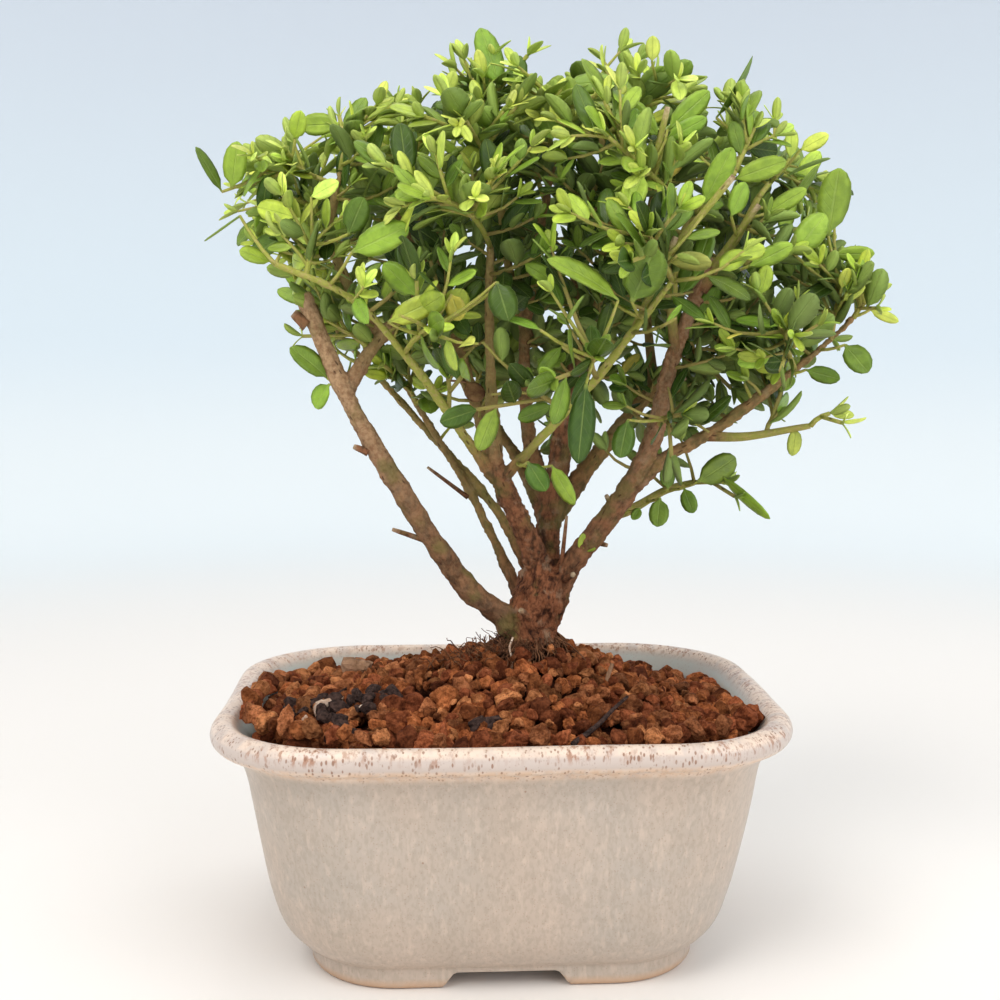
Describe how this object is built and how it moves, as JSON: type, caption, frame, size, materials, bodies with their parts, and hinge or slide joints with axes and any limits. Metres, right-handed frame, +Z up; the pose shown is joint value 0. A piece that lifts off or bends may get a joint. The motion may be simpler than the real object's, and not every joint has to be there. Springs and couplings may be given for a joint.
{
  "type": "japanese holly bonsai",
  "caption": "Young Japanese holly bonsai with many upright stems and a broad leafy crown, in a glazed oval-cornered pot filled with baked clay granules.",
  "frame": {"origin": "middle of the whole object's footprint, on the surface that the pot stands on", "axes": "+Z up, -Y towards the front of the pot, +X to the right seen from the front"},
  "size_m": [0.195, 0.1382, 0.2474],
  "materials": {
    "glaze": "gloss",
    "screen": "matte",
    "soil": "matte",
    "bark": "matte",
    "foliage": "satin"
  },
  "bodies": {
    "root": {"drain_mesh_left": "screen", "drain_mesh_right": "screen", "pot": "glaze", "soil": "soil", "spray_01": "foliage", "spray_02": "foliage", "spray_03": "foliage", "spray_04": "foliage", "spray_05": "foliage", "spray_06": "foliage", "spray_07": "foliage", "spray_08": "foliage", "spray_09": "foliage", "spray_10": "foliage", "spray_11": "foliage", "spray_12": "foliage", "spray_13": "foliage", "spray_14": "foliage", "spray_15": "foliage", "spray_16": "foliage", "spray_17": "foliage", "spray_18": "foliage", "spray_19": "foliage", "spray_20": "foliage", "spray_21": "foliage", "spray_22": "foliage", "spray_23": "foliage", "spray_24": "foliage", "spray_25": "foliage", "spray_26": "foliage", "spray_27": "foliage", "spray_28": "foliage", "spray_29": "foliage", "spray_30": "foliage", "spray_31": "foliage", "spray_32": "foliage", "spray_33": "foliage", "spray_34": "foliage", "spray_35": "foliage", "spray_36": "foliage", "spray_37": "foliage", "spray_38": "foliage", "spray_39": "foliage", "spray_40": "foliage", "spray_41": "foliage", "spray_42": "foliage", "spray_43": "foliage", "spray_44": "foliage", "spray_45": "foliage", "trunk": "bark"}
  },
  "joints": []
}
